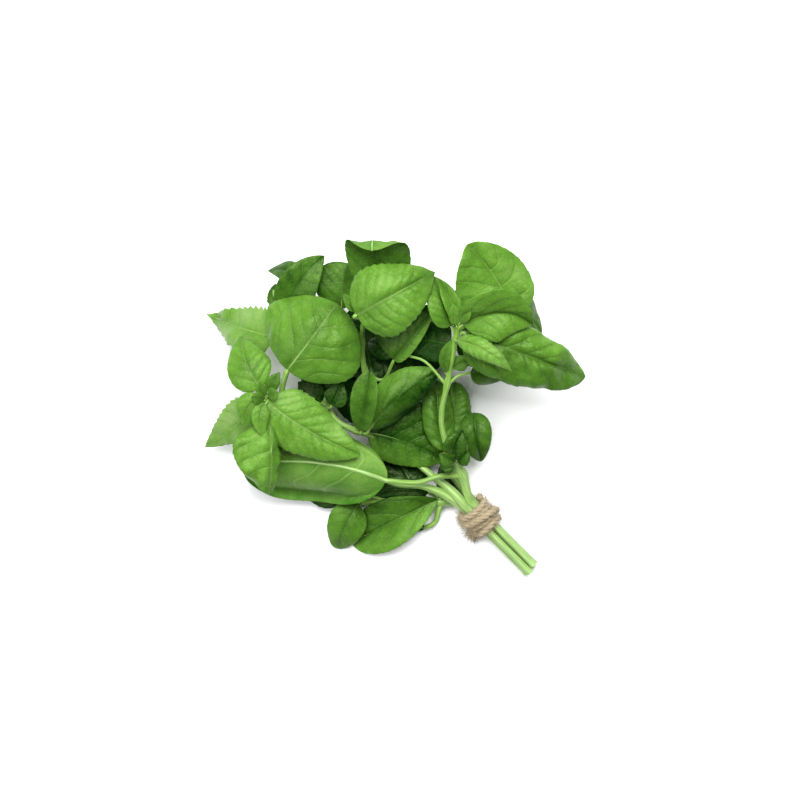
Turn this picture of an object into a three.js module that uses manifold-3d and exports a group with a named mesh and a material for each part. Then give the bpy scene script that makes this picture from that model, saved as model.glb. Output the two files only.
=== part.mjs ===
// A bunch of fresh basil: five cut leafy stems held by a few turns of jute twine, lying on a table.
// Millimetres, +Z up, the table at z = 0. The cut ends point to +X -Y and the leaves spread to -X +Y.
// Each leafy stem is one grown piece, so its stem, leaf stalks and blades are fused into one solid.
import * as THREE from "three";
import { mergeVertices } from "three/addons/utils/BufferGeometryUtils.js";
import Module from "manifold-3d";

const wasm = await Module();
wasm.setup();

// Driving dimensions.
const STEM_RADIUS = 1.6; // cut stem, where the twine holds it
const SHOOT_RADIUS = 1.25; // the same stem near its growing tip
const YOUNG_WIDTH = 10; // a blade narrower than this is a young leaf, with few facets
const BLADE_THICKNESS = 0.7;
const TWINE_RADIUS = 1.45;
const TABLE_Z = 0;

// The leaves are laid out from the middle of the bunch as it is seen from above.
// This shift puts the origin under the middle of the finished bunch's box.
const MIDDLE_OF_BUNCH = new THREE.Vector3(-3.6, -5.8, 0);

const UP = new THREE.Vector3(0, 0, 1);
const radians = THREE.MathUtils.degToRad;
const point = ([x, y, z]) => new THREE.Vector3(x, y, z);

// A closed geometry as a manifold-3d solid.
function solid(geometry) {
  geometry.deleteAttribute("normal");
  geometry.deleteAttribute("uv");
  const merged = mergeVertices(geometry, 1e-4);
  return new wasm.Manifold(
    new wasm.Mesh({
      numProp: 3,
      vertProperties: merged.attributes.position.array,
      triVerts: new Uint32Array(merged.index.array),
    }),
  );
}

function fuse(solids) {
  return solids.reduce((whole, piece) => whole.add(piece)).simplify(0.05);
}

function mesh(name, manifold, material) {
  const { vertProperties, triVerts } = manifold.getMesh();
  const geometry = new THREE.BufferGeometry()
    .setAttribute("position", new THREE.BufferAttribute(vertProperties, 3))
    .setIndex(new THREE.BufferAttribute(triVerts, 1));
  geometry.computeVertexNormals();
  const made = new THREE.Mesh(geometry, material);
  made.name = name;
  return made;
}

// ---- Stems and stalks: a round section swept along a smooth line ----

function tube(points, radius, sides, steps) {
  const section = new THREE.Shape(
    Array.from({ length: sides }, (_, k) => {
      const turn = ((k + 0.5) / sides) * 2 * Math.PI;
      return new THREE.Vector2(radius * Math.cos(turn), radius * Math.sin(turn));
    }),
  );
  const extrudePath = new THREE.CatmullRomCurve3(points, false, "centripetal");
  return solid(new THREE.ExtrudeGeometry(section, { steps, extrudePath }));
}

// ---- Leaf blades ----

// Half the width of a blade along its midrib, as a share of its widest half. The first power rounds its
// base and the second its tip: a power near 1 is pointed and a lower one is blunt.
const EGG_SHAPE = [0.55, 0.85];
function outline(t, [basePower, tipPower]) {
  const widest = basePower / (basePower + tipPower);
  return (t ** basePower * (1 - t) ** tipPower) / (widest ** basePower * (1 - widest) ** tipPower);
}

// The midrib runs from base to tip through mid.
function midribOf({ base, mid, tip }) {
  const start = point(base);
  const end = point(tip);
  const control = point(mid).multiplyScalar(2).sub(start.clone().add(end).multiplyScalar(0.5));
  return new THREE.QuadraticBezierCurve3(start, control, end);
}

// Frames along the midrib: the side and the face's normal, banked by roll and then by twist towards the tip.
function framesAlong(midrib, rows, roll, twist) {
  let upright = UP;
  return Array.from({ length: rows + 1 }, (_, row) => {
    // The rows are closer together at both ends, where the outline curves most.
    const even = row / rows;
    const t = THREE.MathUtils.lerp(even, THREE.MathUtils.smoothstep(even, 0, 1), 0.6);
    const along = midrib.getTangent(t);
    upright = upright.clone().addScaledVector(along, -upright.dot(along)).normalize();
    const bank = radians(roll + twist * t);
    const level = along.clone().cross(upright);
    const side = level.clone().multiplyScalar(Math.cos(bank)).addScaledVector(upright, -Math.sin(bank));
    const normal = upright.clone().multiplyScalar(Math.cos(bank)).addScaledVector(level, Math.sin(bank));
    return { row, t, middle: midrib.getPoint(t), side, normal };
  });
}

// A blade as a grid of points on both faces. fold is the slope of each half at the midrib, and bend is how
// much further it turns by its edge, in degrees, upwards if positive. uneven makes one half wider, wave ruffles the edge and teeth cut it.
function blade(leaf) {
  const { width, roll = 0, twist = 0, fold = 0, bend = 0, wave = 0, teeth = 0, uneven = 0 } = leaf;
  const { shape = EGG_SHAPE } = leaf;
  const young = width < YOUNG_WIDTH;
  const rows = young ? 4 : 6 + Math.floor(width / 30);
  const columns = young ? 2 : 4;
  const slope = radians(fold);
  const curvature = radians(bend || 0.01) / (width / 2);
  const upper = [];
  const lower = [];
  for (const { row, t, middle, side, normal } of framesAlong(midribOf(leaf), rows, roll, twist)) {
    const tooth = 1 + (row % 2 ? teeth : -teeth);
    const half = Math.max((width / 2) * outline(t, shape) * tooth, BLADE_THICKNESS / 2);
    for (let column = 0; column <= columns; column++) {
      const v = (2 * column) / columns - 1;
      const out = Math.abs(v) * half * (1 + uneven * Math.sign(v));
      const angle = slope + curvature * out;
      const across = Math.sign(v) * ((Math.sin(angle) - Math.sin(slope)) / curvature);
      const ruffle = wave * v * v * Math.sin(3 * Math.PI * t + (v > 0 ? 0 : 1.3));
      const rise = (Math.cos(slope) - Math.cos(angle)) / curvature + ruffle;
      const centre = middle.clone().addScaledVector(side, across).addScaledVector(normal, rise);
      const facing = normal.clone().multiplyScalar(Math.cos(angle));
      facing.addScaledVector(side, -Math.sign(v) * Math.sin(angle));
      const top = centre.clone().addScaledVector(facing, BLADE_THICKNESS / 2);
      const bottom = centre.clone().addScaledVector(facing, -BLADE_THICKNESS / 2);
      // What would sink into the table lies flat on it.
      const lift = Math.max(0, TABLE_Z - Math.min(top.z, bottom.z));
      top.z += lift;
      bottom.z += lift;
      upper.push(top);
      lower.push(bottom);
    }
  }
  return solid(closedGrid(upper, lower, rows, columns));
}

// The closed skin between two like grids, split into triangles alike on both faces.
function closedGrid(upper, lower, rows, columns) {
  const across = columns + 1;
  const count = upper.length;
  const index = [];
  const quad = (a, b, c, d) => index.push(a, b, c, a, c, d);
  for (let row = 0; row < rows; row++) {
    for (let column = 0; column < columns; column++) {
      const a = row * across + column;
      const b = a + 1;
      const c = b + across;
      const d = a + across;
      quad(a, b, c, d);
      index.push(count + a, count + c, count + b, count + a, count + d, count + c);
    }
    const left = row * across;
    const right = left + columns;
    quad(left, left + across, count + left + across, count + left);
    quad(right + across, right, count + right, count + right + across);
  }
  for (let column = 0; column < columns; column++) {
    const far = rows * across + column;
    quad(column + 1, column, count + column, count + column + 1);
    quad(far, far + 1, count + far + 1, count + far);
  }
  const positions = [...upper, ...lower].flatMap((p) => p.toArray());
  return new THREE.BufferGeometry()
    .setAttribute("position", new THREE.Float32BufferAttribute(positions, 3))
    .setIndex(index);
}

// The stalk is rooted inside the stem, reaches the blade and ends under its midrib.
function stalk(root, leaf) {
  const midrib = midribOf(leaf);
  const base = midrib.getPoint(0);
  const reach = base.distanceTo(root);
  const run = leaf.via
    ? leaf.via.map(point)
    : [base.clone().addScaledVector(midrib.getTangent(0), -reach * 0.35)];
  const radius = 0.5 + 0.02 * leaf.width;
  const sides = leaf.width < YOUNG_WIDTH ? 4 : 5;
  return tube([root, ...run, base, midrib.getPoint(0.12)], radius, sides, leaf.via ? 5 : 3);
}

// ---- Leafy stems ----

function leafyStem({ name, line, shootFrom, leaves }) {
  const stem = line.map(point);
  // What grows on from a point of the stem is rooted inside it, a millimetre short of that point.
  const root = (node) => stem[node - 1].clone().sub(stem[node]).setLength(1).add(stem[node]);
  const shoot = [root(shootFrom), ...stem.slice(shootFrom + 1)];
  const pieces = [
    tube(stem.slice(0, shootFrom + 1), STEM_RADIUS, 7, 2 * shootFrom),
    tube(shoot, SHOOT_RADIUS, 6, 2 * shoot.length),
  ];
  for (const leaf of leaves) pieces.push(stalk(root(leaf.node), leaf), blade(leaf));
  return mesh(name, fuse(pieces), leafGreen);
}

const leafGreen = new THREE.MeshStandardMaterial({ color: 0x5f9a2e, roughness: 0.45, metalness: 0 });
const jute = new THREE.MeshStandardMaterial({ color: 0xc2a878, roughness: 0.95, metalness: 0 });

// The right-hand stem, with its shoot turned up towards the viewer and the largest leaves of the bunch.
const rightStem = leafyStem({
  name: "leafy_stem_right",
  line: [
    [68.2, -84.3, 7.1],
    [42.4, -58.4, 10.7],
    [36, -52, 11.3],
    [31.3, -37.5, 17],
    [24.5, -26, 23],
    [21, -13, 28],
    [21, -4, 32],
    [23.5, 8, 37],
    [25.5, 20, 44],
    [27.5, 31, 49],
    [28.5, 36, 53],
  ],
  shootFrom: 7,
  leaves: [
    // the long leaf lying on its face at the lower left, with its pale rib upwards
    {
      node: 3,
      via: [[20, -38.5, 20], [9, -41.5, 22]],
      base: [-7, -40.5, 26],
      mid: [-41, -31.5, 29],
      tip: [-80, -33, 14],
      width: 49,
      roll: -3,
      bend: -53,
      uneven: -0.18,
      shape: [0.45, 0.5],
    },
    // low pair, behind the stem
    {
      node: 3,
      base: [27, -27.5, 14],
      mid: [27, -10, 15],
      tip: [28, 9, 11],
      width: 19,
      bend: -20,
      shape: [0.5, 0.5],
    },
    {
      node: 3,
      base: [23, -25, 16],
      mid: [19.5, -9, 18],
      tip: [19, 10, 16],
      width: 17,
      bend: -20,
      shape: [0.5, 0.5],
    },
    // side shoot low on the right, its largest leaf hanging over
    {
      node: 4,
      via: [[33, -14, 18]],
      base: [37.5, -6.5, 20],
      mid: [38.5, -19, 23],
      tip: [41, -31, 14],
      width: 16,
      fold: 15,
      bend: -40,
      shape: [0.4, 0.7],
    },
    { node: 4, base: [27.5, -30, 24], mid: [24, -29, 28], tip: [19.5, -27, 29], width: 10 },
    { node: 4, base: [27, -28, 25], mid: [28, -22, 31], tip: [31.5, -15, 30], width: 13 },
    { node: 4, base: [29, -30, 24], mid: [31.5, -28, 28], tip: [33.5, -25, 28], width: 10 },
    { node: 4, base: [25.5, -31, 23], mid: [23, -32.5, 26], tip: [20, -34, 25], width: 10 },
    // middle pair: one leaf back to the left, one out to the right
    {
      node: 7,
      via: [[12.5, 19, 38], [6, 21.5, 34]],
      base: [-2, 22.5, 29.5],
      mid: [-10, 27, 27],
      tip: [-16, 29, 22],
      width: 12,
      bend: -15,
    },
    {
      node: 7,
      via: [[29, 12, 39]],
      base: [35, 13.5, 37],
      mid: [45, 13.5, 34],
      tip: [56, 13, 28],
      width: 15,
      roll: 30,
      bend: -15,
    },
    { node: 7, base: [26.5, 15.5, 41], mid: [31, 18.5, 43], tip: [35.5, 18, 43], width: 8 },
    { node: 7, base: [22.5, 14, 41], mid: [22, 21.5, 45], tip: [26, 30, 47], width: 7, roll: -50 },
    {
      node: 8,
      base: [24.5, 27.5, 40],
      mid: [14, 29.5, 36],
      tip: [3, 30, 31],
      width: 21,
      bend: -20,
      shape: [0.3, 0.6],
    },
    { node: 8, base: [31, 26, 38], mid: [47, 30, 22], tip: [62, 32, -6], width: 24 },
    // upper pair: the largest leaf out to the right, a folded one up to the left
    { node: 9, base: [28, 29, 52], mid: [41, 24, 60], tip: [54.5, 14, 57], width: 11, bend: -30 },
    {
      node: 9,
      base: [32.5, 32.5, 50],
      mid: [62.5, 21, 51],
      tip: [92.5, 9.5, 32],
      width: 33,
      fold: 15,
      bend: -60,
      wave: 1,
      shape: [0.42, 0.75],
    },
    { node: 9, base: [37, 35, 45], mid: [56.5, 43.5, 42], tip: [70.5, 33, 30], width: 30, bend: -20 },
    { node: 9, base: [25.5, 36.5, 51], mid: [21, 49, 54], tip: [16, 61, 50], width: 14, fold: 35 },
    // top leaves and growing tip
    {
      node: 10,
      via: [[36, 38, 51]],
      base: [54, 41, 50],
      mid: [46.5, 58, 51],
      tip: [32, 76, 61],
      width: 37,
      fold: 8,
      bend: -30,
      uneven: -0.15,
      shape: [0.5, 0.65],
    },
    {
      node: 10,
      base: [31, 37, 54],
      mid: [49, 43, 58],
      tip: [65, 37, 52],
      width: 30,
      roll: 20,
      fold: 32,
      bend: -20,
    },
    { node: 10, base: [28, 39, 54], mid: [24.5, 48.5, 57], tip: [19, 59, 55], width: 10, fold: 40 },
    { node: 10, base: [27.5, 36.5, 55], mid: [26.5, 42, 58], tip: [26, 47, 59], width: 6 },
    { node: 10, base: [29.5, 38, 56], mid: [32, 42, 60], tip: [33, 46, 61], width: 6 },
  ],
});

// The left-hand stem, which runs low under its leaves to a rosette at the far left.
const leftStem = leafyStem({
  name: "leafy_stem_left",
  line: [
    [65.3, -88.6, 3.7],
    [38.7, -62, 7.25],
    [32.4, -55.5, 7.8],
    [25.4, -49.7, 11],
    [12.6, -44, 14],
    [0, -39.5, 17.5],
    [-27, -29, 12],
    [-40, -20, 7.6],
    [-50, -11, 10.2],
    [-60, -6, 31],
    [-66, 0, 40],
  ],
  shootFrom: 6,
  leaves: [
    // the round leaf that faces the viewer
    {
      node: 9,
      via: [[-58.5, 6, 38]],
      base: [-55.5, 15, 46],
      mid: [-43.5, 30, 53],
      tip: [-31, 47.5, 47],
      width: 59,
      roll: -2,
      fold: -8,
      bend: -24,
      uneven: 0.08,
      shape: [0.42, 0.45],
    },
    // leaves round the rosette
    { node: 10, base: [-69, 6, 39], mid: [-76, 18, 39], tip: [-79.5, 32, 30], width: 23, bend: -20 },
    {
      node: 9,
      base: [-71, -1, 34],
      mid: [-84, -11.5, 24],
      tip: [-99.5, -24, 8],
      width: 17,
      bend: -15,
      teeth: 0.05,
      shape: [0.5, 1],
    },
    {
      node: 9,
      base: [-65, -10, 40],
      mid: [-63.5, -28, 42.5],
      tip: [-65.5, -47, 34.5],
      width: 38,
      roll: -35,
      fold: -40,
    },
    {
      node: 10,
      base: [-65, -1, 41],
      mid: [-46.5, -14.5, 39],
      tip: [-20, -27.5, 33],
      width: 31,
      bend: -30,
      teeth: 0.03,
      shape: [0.38, 0.75],
    },
    { node: 10, base: [-65, 4, 40], mid: [-62.5, 9, 43], tip: [-59.5, 13.5, 43], width: 7 },
    // growing tip
    { node: 10, base: [-67, 2, 43], mid: [-68.5, 5, 46], tip: [-69, 8.5, 47], width: 6 },
    { node: 10, base: [-67.5, 0, 43], mid: [-70.5, 1, 46], tip: [-73, 1, 46], width: 7 },
    { node: 10, base: [-65, 2, 43], mid: [-62.5, 3, 46], tip: [-60, 4, 47], width: 7 },
    { node: 10, base: [-66.5, -2, 43], mid: [-69, -9, 45], tip: [-67, -18.5, 43], width: 9 },
    { node: 10, base: [-69.5, -1, 42], mid: [-75, -4, 42], tip: [-76, -14, 38], width: 13, bend: -20 },
  ],
});

// The middle stem, with a fork of leaves in the heart of the bunch and its tip at the back left.
const middleStem = leafyStem({
  name: "leafy_stem_middle",
  line: [
    [66.5, -88, 7],
    [39.7, -61, 10.7],
    [33.5, -54.5, 11.4],
    [28.4, -48.4, 12.6],
    [16, -38, 11],
    [2.5, -28, 9],
    [-14, -18.5, 16.5],
    [-22, -15.5, 24],
    [-31, -11, 26],
    [-37, -2.5, 26],
    [-46, 17, 30],
    [-52, 32, 34],
    [-56, 44, 35],
  ],
  shootFrom: 8,
  leaves: [
    // fork in the heart of the bunch
    {
      node: 7,
      base: [-16, -16.5, 18],
      mid: [2, -21, 15.5],
      tip: [22, -30, 10.5],
      width: 36,
      roll: 8,
      bend: -15,
    },
    {
      node: 7,
      base: [-15.5, -15, 27],
      mid: [1.5, 3.5, 33],
      tip: [19.5, 14, 32],
      width: 25,
      roll: 12,
      fold: -12,
      bend: -35,
    },
    {
      node: 7,
      base: [-19.5, -15.5, 28],
      mid: [-17, -1, 36],
      tip: [-15.5, 14, 38],
      width: 16,
      roll: -15,
      fold: 25,
      shape: [0.6, 0.5],
    },
    { node: 9, base: [-34, -2.5, 33], mid: [-31.5, 2.5, 36], tip: [-29, 9, 36], width: 12 },
    { node: 9, base: [-39.5, -1, 29], mid: [-45, 4, 30], tip: [-51, 9, 29], width: 13 },
    { node: 9, base: [-38, 2, 28], mid: [-40, 14, 24], tip: [-38, 28, 16], width: 20 },
    // leaves at the back left
    {
      node: 11,
      base: [-64, 32, 31],
      mid: [-79, 36, 22],
      tip: [-99, 44, -5],
      width: 26,
      bend: -15,
      teeth: 0.09,
      shape: [0.5, 1],
    },
    { node: 12, base: [-57, 42, 34], mid: [-49.5, 58, 41.5], tip: [-37.5, 71.5, 39], width: 20, fold: 12 },
    { node: 12, base: [-62.5, 51, 38], mid: [-63, 43.5, 39], tip: [-65, 36.5, 36], width: 5 },
    { node: 12, base: [-52, 60, 33], mid: [-57, 65, 30], tip: [-66.5, 65, 22], width: 12, bend: -15 },
    { node: 12, base: [-58.5, 46, 31], mid: [-61, 52, 31], tip: [-62.5, 58, 27], width: 12, teeth: 0.08 },
  ],
});

// The upper stem, which lies low under the others and turns up to the highest leaves of the bunch.
const upperStem = leafyStem({
  name: "leafy_stem_upper",
  line: [
    [69, -84, 3.7],
    [43, -57.75, 7.35],
    [36.9, -51.2, 7.9],
    [30, -42, 6.5],
    [22, -32, 5.5],
    [12, -20, 6],
    [0, -8, 9],
    [-10, 4, 18],
    [-17, 13, 25],
    [-19, 28.5, 33],
    [-17.5, 41, 53],
  ],
  shootFrom: 8,
  leaves: [
    // the pale leaf that faces the viewer, and the one half hidden under it
    {
      node: 10,
      base: [-21, 41.5, 57],
      mid: [-2.5, 51.5, 63],
      tip: [17, 62.5, 54],
      width: 37,
      bend: -25,
      teeth: 0.03,
      shape: [0.38, 0.8],
    },
    {
      node: 8,
      via: [[-9, 10, 24]],
      base: [-3, 20, 33.5],
      mid: [8, 33, 42],
      tip: [18, 47, 45],
      width: 23,
      uneven: -0.6,
    },
    // curled leaf at the back, its tip turned over
    {
      node: 10,
      base: [-7, 44, 42],
      mid: [-13, 73.4, 57],
      tip: [-14.6, 71, 66],
      width: 30,
      twist: -29,
      shape: [0.4, 0.5],
    },
    {
      node: 9,
      base: [-29, 45, 34],
      mid: [-28.5, 57, 38.5],
      tip: [-26, 68, 37.5],
      width: 29,
      roll: 8,
      fold: -20,
      shape: [0.55, 0.5],
    },
    { node: 10, base: [-22, 43, 54], mid: [-25, 48, 56], tip: [-27.5, 51.5, 57], width: 5 },
    // low leaves in the shade, which touch the table
    { node: 7, base: [-13, 9, 16], mid: [-17, 27, 10], tip: [-20, 47, -6], width: 28 },
    { node: 6, base: [-8, -6, 9], mid: [-22, 2, 9], tip: [-38, 12, 4], width: 26 },
    { node: 7, base: [-5, 6, 17], mid: [8, 24, 11], tip: [20, 44, -6], width: 28 },
  ],
});

// The lower stem, close to the table, with leaves that fan out at the bottom.
const lowerStem = leafyStem({
  name: "leafy_stem_lower",
  line: [
    [67.5, -86.5, 1.7],
    [41.05, -59.7, 5.2],
    [34.3, -52.9, 5.9],
    [27, -51.5, 5],
    [20, -52, 7],
    [8, -52, 9],
    [-6, -52, 8],
    [-20, -52, 7],
  ],
  shootFrom: 4,
  leaves: [
    {
      node: 4,
      base: [19.5, -50.5, 10],
      mid: [-1, -60.5, 9.5],
      tip: [-24.5, -73, -4],
      width: 27,
      fold: 26,
      bend: -18,
      shape: [0.95, 0.55],
    },
    {
      node: 6,
      base: [-21, -53, 9],
      mid: [-27, -63, 10],
      tip: [-32, -76, 1],
      width: 20,
      bend: -15,
      shape: [0.5, 0.55],
    },
    {
      node: 4,
      via: [[19.5, -57, 7], [18, -62.5, 5]],
      base: [12.5, -65.5, 4],
      mid: [6, -63.5, 3],
      tip: [-2, -61, 0],
      width: 6,
    },
    { node: 4, base: [14, -47.5, 8], mid: [0, -45.5, 9], tip: [-18, -49, 4], width: 11 },
    { node: 5, base: [6, -44, 8], mid: [2, -36, 6], tip: [-8, -24, 3], width: 24 },
    { node: 3, base: [29, -49, 4], mid: [25, -42, 3], tip: [21, -33, 2], width: 14 },
    { node: 7, base: [-26, -49, 7], mid: [-40, -42, 6], tip: [-60, -36, -2], width: 24 },
  ],
});

// ---- The tie: jute twine wound round the stems, its end crossed back over the turns ----

const TIE_TURNS = 4;
const TIE_PITCH = 2 * TWINE_RADIUS + 0.35;
const BUNDLE_RADIUS = STEM_RADIUS + (STEM_RADIUS + 0.15) / Math.sin(Math.PI / 5); // five stems in a ring
const TIE_RADIUS = BUNDLE_RADIUS + TWINE_RADIUS + 0.7;
const TIE_MIDDLE = new THREE.Vector3(41.05, -59.7, 8.35);
const ALONG_STEMS = new THREE.Vector3(-0.704, 0.71, 0.09).normalize();

function twineTie() {
  const level = ALONG_STEMS.clone().cross(UP).normalize();
  const upright = level.clone().cross(ALONG_STEMS);
  const wound = (turn, shift, radius) => {
    const angle = turn * 2 * Math.PI;
    return TIE_MIDDLE.clone()
      .addScaledVector(ALONG_STEMS, shift)
      .addScaledVector(level, radius * Math.cos(angle))
      .addScaledVector(upright, radius * Math.sin(angle));
  };
  const perTurn = 9;
  const turns = Array.from({ length: TIE_TURNS * perTurn + 1 }, (_, k) => {
    const turn = k / perTurn;
    return wound(turn, (turn - TIE_TURNS / 2) * TIE_PITCH, TIE_RADIUS);
  });
  const crossing = Array.from({ length: 9 }, (_, k) => {
    const share = k / 8;
    const lift = 1.8 * TWINE_RADIUS * Math.sin(Math.PI * share) ** 0.5;
    return wound(-0.03 + 0.56 * share, (share - 0.5) * 2.2 * TIE_PITCH, TIE_RADIUS + lift);
  });
  const end = [wound(0.5, -1.6 * TIE_PITCH, TIE_RADIUS), point([35, -67.5, 5]), point([38.5, -71.5, 2.5])];
  return fuse([
    tube(turns, TWINE_RADIUS, 6, TIE_TURNS * perTurn),
    tube(crossing, TWINE_RADIUS, 6, 9),
    tube(end, TWINE_RADIUS, 6, 4),
  ]);
}

const bunch = new THREE.Group();
bunch.add(rightStem, leftStem, middleStem, upperStem, lowerStem, mesh("twine_tie", twineTie(), jute));
bunch.position.copy(MIDDLE_OF_BUNCH).negate();

export default bunch;
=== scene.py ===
"""A bunch of fresh basil: five leafy stems tied with jute twine, lying on a pale table."""

import math
from dataclasses import dataclass

import bpy
import numpy as np
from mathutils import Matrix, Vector, noise


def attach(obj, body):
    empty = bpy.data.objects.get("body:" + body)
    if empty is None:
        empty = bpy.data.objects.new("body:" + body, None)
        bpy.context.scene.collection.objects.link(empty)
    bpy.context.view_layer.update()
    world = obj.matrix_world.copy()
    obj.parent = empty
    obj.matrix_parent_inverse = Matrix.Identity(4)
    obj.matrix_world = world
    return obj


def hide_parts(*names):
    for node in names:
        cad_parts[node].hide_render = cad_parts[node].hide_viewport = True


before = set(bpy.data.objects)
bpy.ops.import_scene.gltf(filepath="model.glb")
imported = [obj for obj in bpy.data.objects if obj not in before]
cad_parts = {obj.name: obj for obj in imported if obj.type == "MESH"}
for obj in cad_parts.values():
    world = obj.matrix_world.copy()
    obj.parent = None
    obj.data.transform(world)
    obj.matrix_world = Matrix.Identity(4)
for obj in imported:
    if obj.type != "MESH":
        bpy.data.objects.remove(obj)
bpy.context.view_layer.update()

# ---- Table, light and camera ----
# The bunch lies on a plain white table top, under a wide soft window light from beyond its leafy end.
# A camera hangs straight above it.

MM = 0.001

# Places are laid out in millimetres from the middle of the view, where the frame's origin is at this point.
FRAME_ORIGIN = np.array([-3.6, -5.8, 0.0])
CAMERA_HEIGHT = 1141
CAMERA_LENS = 100


def placed(points):
    """Points of the layout, in metres in the frame."""
    return (np.asarray(points, float) - FRAME_ORIGIN) * MM


def linear(colour):
    """The linear colour, with alpha, of one written as six hexadecimal digits."""
    shares = [int(colour[i : i + 2], 16) / 255 for i in (0, 2, 4)]
    return (*(s / 12.92 if s <= 0.04045 else ((s + 0.055) / 1.055) ** 2.4 for s in shares), 1)


def wire(tree, kind, inputs=None, **settings):
    """Adds a node to a tree, with its settings, and links or sets its inputs."""
    made = tree.nodes.new(kind)
    for key, value in settings.items():
        setattr(made, key, value)
    for key, value in (inputs or {}).items():
        if isinstance(value, bpy.types.NodeSocket):
            tree.links.new(value, made.inputs[key])
        else:
            made.inputs[key].default_value = value
    return made


def sums(tree, operation, *values, **settings):
    """The result of a Math node."""
    return wire(tree, "ShaderNodeMath", dict(enumerate(values)), operation=operation, **settings).outputs[0]


def vectors(tree, operation, *values, **inputs):
    """The result of a Vector Math node."""
    inputs = {**dict(enumerate(values)), **inputs}
    return wire(tree, "ShaderNodeVectorMath", inputs, operation=operation).outputs[0]


def blended(tree, share, first, second):
    """One colour blended into another by a share from 0 to 1."""
    inputs = {"Factor": share, 6: first, 7: second}
    return wire(tree, "ShaderNodeMix", inputs, data_type="RGBA").outputs[2]


def group_of(name, kind, inputs, outputs):
    """A new node group, with the kind of each input and output by its name, and the sockets of its inputs."""
    tree = bpy.data.node_groups.new(name, kind)
    for in_out, kinds in (("INPUT", inputs), ("OUTPUT", outputs)):
        for socket_name, socket_kind in kinds.items():
            tree.interface.new_socket(socket_name, in_out=in_out, socket_type=f"NodeSocket{socket_kind}")
    return tree, wire(tree, "NodeGroupInput").outputs


def finish_of(name, **constants):
    """A new material and its Principled shader, with what is the same all over set on the shader."""
    material = bpy.data.materials.new(name)
    material.use_nodes = True
    shader = material.node_tree.nodes["Principled BSDF"]
    for socket, value in constants.items():
        shader.inputs[socket.replace("_", " ")].default_value = value
    return material, shader


def linked(name, data):
    """An object that holds the data, put into the scene."""
    made = bpy.data.objects.new(name, data)
    bpy.context.scene.collection.objects.link(made)
    return made


TABLE_REACH = 3000
TABLE_DROP = 0.1
table_corners = [(-1, -1), (1, -1), (1, 1), (-1, 1)]
table_places = [Vector((x * TABLE_REACH, y * TABLE_REACH, -TABLE_DROP)) * MM for x, y in table_corners]
table_mesh = bpy.data.meshes.new("table_top")
table_mesh.from_pydata(table_places, [], [(0, 1, 2, 3)])
table_finish, table_shader = finish_of("white_table", Roughness=0.7, Specular_IOR_Level=0.2)
table_tree = table_finish.node_tree
table_grain = wire(table_tree, "ShaderNodeTexNoise", {"Scale": 3.0, "Detail": 3.0})
table_colour = blended(table_tree, table_grain.outputs["Fac"], linear("f6f6f8"), linear("fafafb"))
table_tree.links.new(table_colour, table_shader.inputs["Base Color"])
table_mesh.materials.append(table_finish)
linked("table_top", table_mesh)


def soft_light(name, place, size, power):
    """A square light that looks at the bunch, with its place and size in metres and its power in watts."""
    lamp = bpy.data.lights.new(name, "AREA")
    lamp.size = size
    lamp.energy = power
    light = linked(name, lamp)
    light.location = place
    light.rotation_mode = "QUATERNION"
    light.rotation_quaternion = (-Vector(place)).to_track_quat("-Z", "Y")


soft_light("window_light", place=(0.12, 0.7, 1.4), size=1.0, power=48)
soft_light("fill_light", place=(-0.7, -0.1, 1.25), size=1.4, power=21)

ROOM_BRIGHTNESS = 0.1
world = bpy.data.worlds.new("white_room")
world.use_nodes = True
room_light = world.node_tree.nodes["Background"]
room_light.inputs["Color"].default_value = (1, 1, 1, 1)
room_light.inputs["Strength"].default_value = ROOM_BRIGHTNESS
bpy.context.scene.world = world
bpy.context.scene.view_settings.view_transform = "Standard"

camera_lens = bpy.data.cameras.new("camera")
camera_lens.lens = CAMERA_LENS
camera = linked("camera", camera_lens)
camera.location = placed((0, 0, CAMERA_HEIGHT))
bpy.context.scene.camera = camera

# ---- Right-hand leafy stem ----
# A cut shoot of basil, grown as one piece: a ridged green stem that swells where pairs of leaves leave it,
# with the largest leaves of the bunch and its growing tip turned up. The twine holds it near its cut end.

# The stem, in millimetres. Swellings and flares are shares of its radius, and fade over their reach.
STEM_RADIUS = 1.6
SHOOT_RADIUS = 1.2
NODE_SWELLING = 0.4
NODE_REACH = 3.5
CUT_FLARE = 0.2
CUT_REACH = 1.5
SWELLING_ABOVE_TIE = 0.55
SWELLING_RUN = 57
SWELLING_REACH = 13
STEM_SPACING = 1.2
STEM_SIDES = 16
RIDGES = 4
RIDGE_DEPTH = 0.07

# The leaf stalks, whose radius grows with the leaf's width, and the midribs that they run on into. A rib has
# places by shares of the blade's length, and its thickness there is a share of the stalk's.
STALK_RADIUS = 0.42
STALK_RADIUS_PER_WIDTH = 0.016
STALK_FLARE = 0.35
STALK_STRAIGHT_SHARE = 0.35
STALK_SPACING = 1.2
STALK_AGE = 0.3
RIB_SPACING = 1.5
RIB_DEPTH = 0.8
RIB_DEPTH_FACE_DOWN = 0.1
RIB_PLACES = np.array([0.0, 0.08, 0.2, 0.4, 0.6, 0.8, 0.96])
RIB_THICKNESS = np.array([0.9, 0.75, 0.6, 0.45, 0.32, 0.22, 0.12])

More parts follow.
